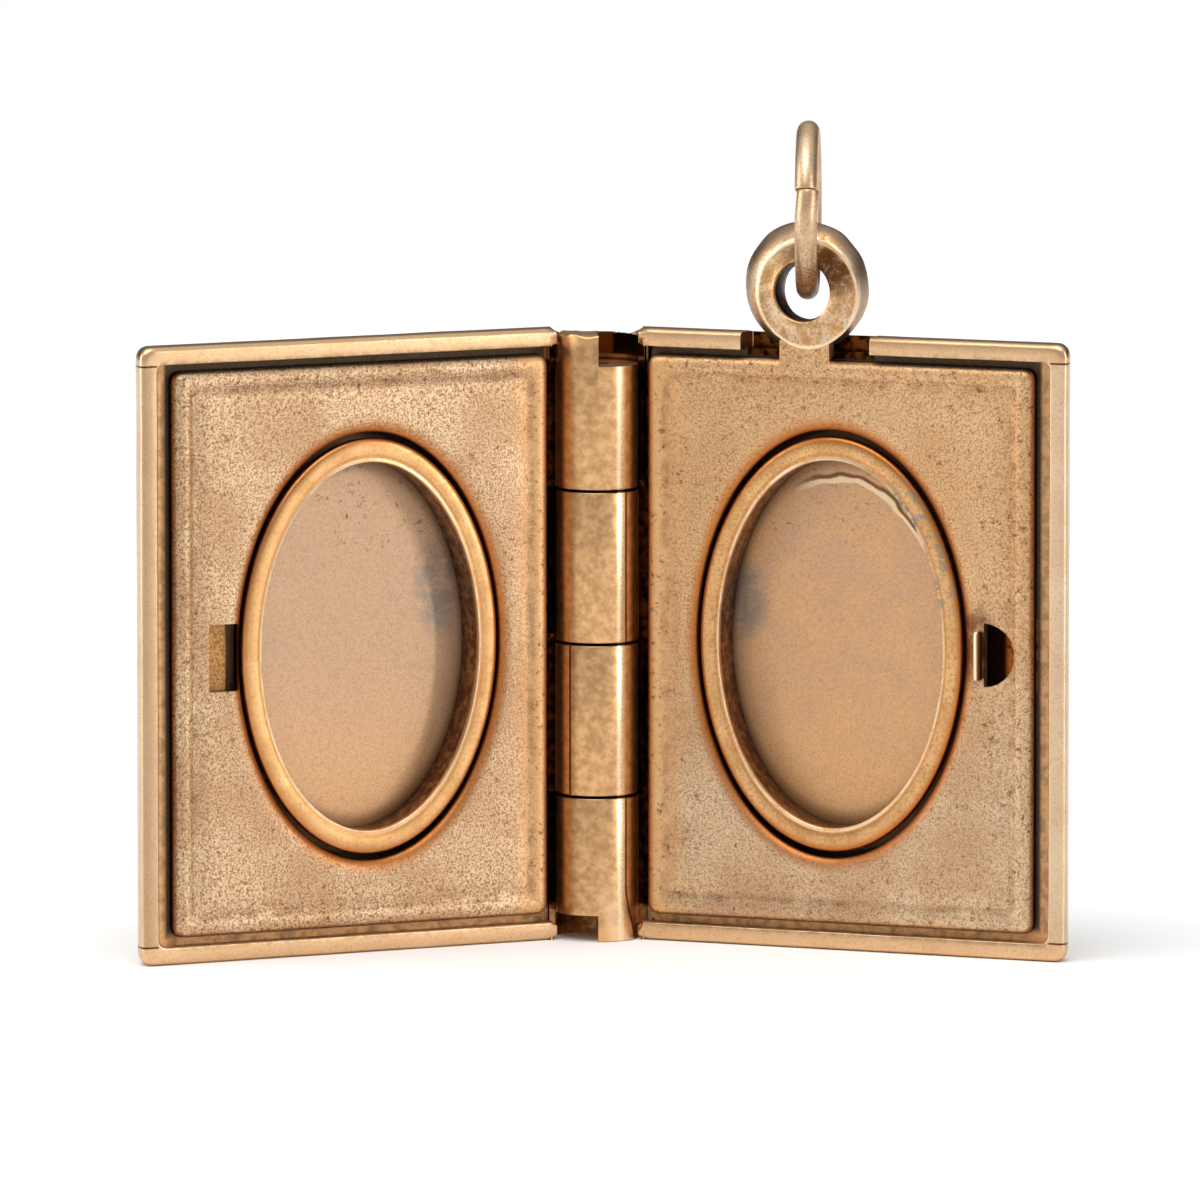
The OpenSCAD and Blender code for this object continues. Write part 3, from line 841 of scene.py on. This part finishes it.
# Pairs of a distance in from the edge and a depth behind the rim
moulding = [(0, 0.58), (0, 0.42), (0.015, 0.3), (0.06, 0.19), (0.14, 0.11), (0.25, 0.062), (0.38, 0.045),
            (0.5, 0.06), (0.62, 0.11), (0.74, 0.155), (0.9, 0.142), (1.1, 0.1)]
ovalRoll = [(0.5, 0.07), (0.3, 0.078), (0.16, 0.105), (0.06, 0.15), (-0.02, 0.21), (-0.065, 0.29),
            (-0.08, 0.4), (-0.08, 0.575)]


def panelShape():
    bm = bmesh.new()
    outline = []
    for inset, depth in moulding:
        step = Vector((inset, inset))
        corner = max(panel["corner"] - inset, 0.12)
        outline.append(squareRing(bm, panelLow + step, panelHigh - step, corner, depth))
    oval = [ring(bm, panel["holeWidth"] + inset, panel["holeHeight"] + inset, ovalMiddle, depth)
            for inset, depth in ovalRoll]
    skin(bm, outline, closed=False)
    skin(bm, oval, closed=False)
    face = bmesh.ops.bridge_loops(bm, edges=outline[-1] + oval[0])["faces"]
    spokes = list({e for f in face for e in f.edges} - set(outline[-1] + oval[0]))
    bmesh.ops.subdivide_edges(bm, edges=spokes, cuts=7, use_grid_fill=True)
    bmesh.ops.bridge_loops(bm, edges=outline[0] + oval[-1])
    for vert in bm.verts:
        if vert.co.y < 0.3:
            vert.co.y += wave(vert.co, 2.8, panel["wave"]) + wave(vert.co, 0.8, panel["wave"] / 5)
    return bm


def bailShape():
    # Rings from the hole's front edge over the face and round the outside to the back
    bm = bmesh.new()
    # Each row is a radius, a depth and the ring's own shift from the hole's middle
    profile = [
        (0.95, 0.6, 0, 0), (0.965, 0.3, 0, 0), (0.985, 0.17, 0, 0), (1.01, 0.1, 0, 0),
        (1.06, 0.065, 0.02, -0.01), (1.3, 0.1, 0.1, -0.03), (1.56, 0.11, 0.18, -0.05),
        (1.75, 0.075, 0.2, -0.06), (1.83, 0.09, 0.2, -0.05),
        (1.88, 0.16, 0.15, 0), (1.96, 0.29, 0.06, 0.05), (2.08, 0.5, -0.04, 0.1), (2.18, 0.75, -0.11, 0.14),
        (2.15, 1.0, -0.1, 0.13), (2.03, 1.22, -0.06, 0.1), (1.82, 1.4, 0, 0.05), (1.55, 1.5, 0, 0),
        (1.28, 1.55, -0.04, -0.04), (1.14, 1.52, -0.07, -0.06), (1.08, 1.42, -0.08, -0.06),
        (1.03, 1.2, -0.06, -0.05), (0.97, 0.9, -0.02, -0.01)]
    rings = [ring(bm, radius, radius, (bail["middle"] + right, bailHeight + up), depth)
             for radius, depth, right, up in profile]
    skin(bm, rings)
    for vert in bm.verts:
        out = Vector((vert.co.x - bail["middle"], 0, vert.co.z - bailHeight))
        # The hole keeps its shape, so that the ring can swing in it
        dent = min((out.length - bail["hole"]) / 0.6, 1)
        low = max(0, bailHeight - 1.5 - vert.co.z)
        aside = out.normalized() * wave(vert.co, 0.9, bail["dent"]) * dent
        vert.co += aside + Vector((0, wave(vert.co, 0.6, 0.03), 0))
        vert.co.z += wave(vert.co, 0.35, bail["ragged"]) * low
    foot = block((bail["middle"] - 3, bail["cutDepth"] - 0.05, 19),
                 (bail["middle"] + 3, 3, leaf["height"] + 0.04))
    return combine(bm, foot, "DIFFERENCE")


def addLeftPanel():
    half = catch["height"] / 2
    cut = block((slotStart, -1, catch["z"] - half), (slotStart + catch["width"], 1, catch["z"] + half), 0.08)
    bm = combine(panelShape(), cut, "DIFFERENCE")
    addPiece("leftPanel", bm, leftPlace, "left_leaf", "left_panel", panelSatin("left"))


def addRightPanel():
    holeStart = tongueStart + catch["tongue"]
    drill = post(catch["holeRadius"], -1, 1, segments=64)
    place = Matrix.Translation((holeStart, 0, catch["z"])) @ standUp
    bmesh.ops.transform(drill, matrix=place, verts=drill.verts)
    parts = drill.verts[:] + drill.edges[:] + drill.faces[:]
    cut = bmesh.ops.bisect_plane(drill, geom=parts, plane_co=(holeStart, 0, 0), plane_no=(-1, 0, 0),
                                 clear_outer=True)
    bmesh.ops.holes_fill(drill, edges=[g for g in cut["geom_cut"] if isinstance(g, bmesh.types.BMEdge)])
    bm = combine(panelShape(), drill, "DIFFERENCE")
    tab = block((bail["tabMiddle"] - bail["tab"] / 2, 0.1, panelHigh[1] - 0.6),
                (bail["tabMiddle"] + bail["tab"] / 2, panel["back"], leaf["height"] - 0.2), 0.06, 3)
    bm = combine(bm, tab, "UNION")
    half = catch["height"] / 2 - catch["clear"]
    tongue = block((tongueStart, panel["face"] - catch["rise"], catch["z"] - half),
                   (holeStart, panel["back"] - 0.02, catch["z"] + half), 0.1, 4)
    bm = combine(bm, tongue, "UNION")
    addPiece("rightPanel", bm, rightPlace, "right_leaf", "right_panel", panelSatin("right"))
    addPiece("bail", bailShape(), rightPlace, "right_leaf", "right_panel", bailGold(), 45)


# Frames: oval rings with a bright inner lip and a wall down to the picture plate

# Pairs of a share of the face's width and a depth
frameProfile = [(0, 0.42), (0, 0.3), (0.03, 0.21), (0.1, 0.155), (0.22, 0.128), (0.5, 0.125), (0.78, 0.14),
                (0.86, 0.15), (0.9, 0.135), (0.95, 0.122), (0.985, 0.135), (1, 0.18), (1, 0.5), (1, 0.95),
                (1, 1.4), (0.65, 1.39), (0.65, 0.45)]


def addFrame(side):
    bm = bmesh.new()
    width = panel["holeWidth"] - ovalFrame["grooveWidth"]
    height = panel["holeHeight"] - ovalFrame["grooveHeight"]
    rings = [ring(bm, width - ovalFrame["side"] * share, height - ovalFrame["end"] * share, ovalMiddle, depth)
             for share, depth in frameProfile]
    skin(bm, rings)
    for vert in bm.verts:
        if vert.co.y < 0.3:
            vert.co.y += wave(vert.co, 1.4, 0.01)
    addPiece(side + "Frame", bm, places[side], side + "_leaf", side + "_frame",
             frameGold(side), 60)


def addPlate(side):
    bm = bmesh.new()
    width = panel["holeWidth"] - ovalFrame["grooveWidth"] / 2
    height = panel["holeHeight"] - ovalFrame["grooveHeight"] / 2
    # Pairs of a share of the width and height, and a depth
    profile = [(0.2, 1.452), (0.38, 1.45), (0.56, 1.448), (0.72, 1.446), (0.86, 1.443), (0.99, 1.44),
               (1, 1.47), (1, 1.64), (0.98, 1.66)]
    rings = [ring(bm, width * share, height * share, ovalMiddle, depth) for share, depth in profile]
    skin(bm, rings, closed=False)
    cap(bm, rings[0])
    cap(bm, rings[-1])
    for vert in bm.verts:
        if vert.co.y < 1.5:
            vert.co.y += wave(vert.co, 2.2, 0.02)
    addPiece(side + "PicturePlate", bm, places[side], side + "_leaf",
             side + "_picture_plate", plateMatt(side))


# Jump ring: a turn of round wire whose ends meet with a small step

jumpRing = {
    "outer": 6.0,
    "wire": 0.75,
    "middle": 7.33,
    "turn": 4.5,
    "rise": 0.07,
    "slit": 0.02,
    "slitRise": 19,
    "step": 0.07,
    "steps": 120,
    "round": 32,
}


def addJumpRing():
    radius = (jumpRing["outer"] - jumpRing["wire"]) / 2
    slit = jumpRing["slit"] / radius
    bm = bmesh.new()
    start = math.radians(-90 - jumpRing["slitRise"]) + slit / 2
    # Drawn flat: the wire's end is a disc beside the ring's axis, which is Z
    place = Matrix.Translation((radius, 0, 0)) @ standUp
    bmesh.ops.create_circle(bm, cap_ends=True, segments=jumpRing["round"], radius=jumpRing["wire"] / 2,
                            matrix=place)
    bmesh.ops.spin(bm, geom=bm.verts[:] + bm.edges[:] + bm.faces[:], cent=(0, 0, 0), axis=(0, 0, 1),
                   angle=2 * math.pi - slit, steps=jumpRing["steps"], use_duplicate=False)
    ends = [e for e in bm.edges if e.calc_face_angle(0) > 1.2]
    bmesh.ops.bevel(bm, geom=ends, offset=0.05, offset_type="OFFSET", affect="EDGES", segments=3, profile=0.5,
                    material=-1, clamp_overlap=True)
    for vert in bm.verts:
        along = math.atan2(vert.co.y, vert.co.x) % (2 * math.pi)
        vert.co.z += math.exp(-(along / 0.25) ** 2) * jumpRing["step"]
        vert.co += vert.co.normalized() * wave(vert.co, 1.2, 0.02)
    height = bailHeight + jumpRing["rise"] + radius
    depth = bail["front"] + bail["thick"] / 2
    turn = Matrix.Rotation(lean - math.radians(jumpRing["turn"]), 4, "Z")
    turn = turn @ Matrix.Rotation(math.radians(90), 4, "Y")
    place = rightPlace @ Matrix.Translation((jumpRing["middle"], depth, height)) @ turn
    place = place @ Matrix.Rotation(start, 4, "Z")
    addPiece("jumpRing", bm, place, "jump_ring", "jump_ring",
             wireGold("wireGold", gold["cream"], gold["beige"]), 50)


pin = {"radius": 0.35, "foot": 1.0, "topGap": 0.05}


def addPin():
    shape = post(pin["radius"], pin["foot"], leaf["height"] - knuckle["cutTop"] - pin["topGap"], segments=48)
    addPiece("hingePin", shape, rightPlace, "right_leaf", "hinge_pin",
             wireGold("pinGold", gold["tan"], gold["brown"]))


for side in places:
    addCover(side)
    addFrame(side)
    addPlate(side)
    print(side, "cover, frame and plate made")
addLeftPanel()
addRightPanel()
print("panels made")
addJumpRing()
addPin()
print("pieces made")


# Studio: an even pale floor, a soft front, a dark back, light from above, a card at the left and one
# narrow bright strip at the right

studio = {
    "floor": 3.0,
    "front": 0.5,
    "back": 0.08,
    "top": 0.8,
    "sun": 1.7,
    "sunSpread": 50,
    "target": (0, 0, 0.011),
}


def addLight(name, place, size, power):
    data = bpy.data.lights.new(name, "AREA")
    data.shape = "RECTANGLE"
    data.size, data.size_y = size
    data.energy = power
    lamp = bpy.data.objects.new(name, data)
    bpy.context.collection.objects.link(lamp)
    lamp.location = place
    lamp.rotation_mode = "QUATERNION"
    lamp.rotation_quaternion = (Vector(studio["target"]) - Vector(place)).to_track_quat("-Z", "Y")
    lamp.visible_camera = False


addLight("strip", (0.265, -0.141, 0.05), (0.022, 0.3), 0.4)
addLight("leftCard", (-0.3, -0.02, 0.06), (0.2, 0.3), 0.6)
sunData = bpy.data.lights.new("overhead", "SUN")
sunData.energy = studio["sun"]
sunData.angle = math.radians(studio["sunSpread"])
sun = bpy.data.objects.new("overhead", sunData)
bpy.context.collection.objects.link(sun)
sun.rotation_mode = "QUATERNION"
sun.rotation_quaternion = Vector((0.15, 0.35, -1)).to_track_quat("-Z", "Y")

world = bpy.data.worlds.new("studio")
world.use_nodes = True
bpy.context.scene.world = world
sky = world.node_tree.nodes.new("ShaderNodeTexCoord")
way = Wire(world.node_tree, sky.outputs["Generated"])
front = (0 - way.axis(1)).fade(0.05, 0.6) * (studio["front"] - studio["back"]) + studio["back"]
light = front.most(way.axis(2).fade(0.2, 0.9) * studio["top"])
background = world.node_tree.nodes["Background"]
background.inputs["Color"].default_value = (1, 1, 1, 1)
world.node_tree.links.new(light.socket, background.inputs["Strength"])

bm = bmesh.new()
bmesh.ops.create_circle(bm, cap_ends=True, segments=64, radius=studio["floor"])
floorMesh = bpy.data.meshes.new("floor")
bm.to_mesh(floorMesh)
bm.free()
floor = bpy.data.objects.new("floor", floorMesh)
bpy.context.collection.objects.link(floor)
paper = bpy.data.materials.new("floorPaper")
paper.use_nodes = True
paper.node_tree.nodes["Principled BSDF"].inputs["Base Color"].default_value = (0.93, 0.93, 0.93, 1)
paper.node_tree.nodes["Principled BSDF"].inputs["Roughness"].default_value = 0.9
floorMesh.materials.append(paper)
bpy.context.scene.view_settings.view_transform = "Standard"
print("studio made")
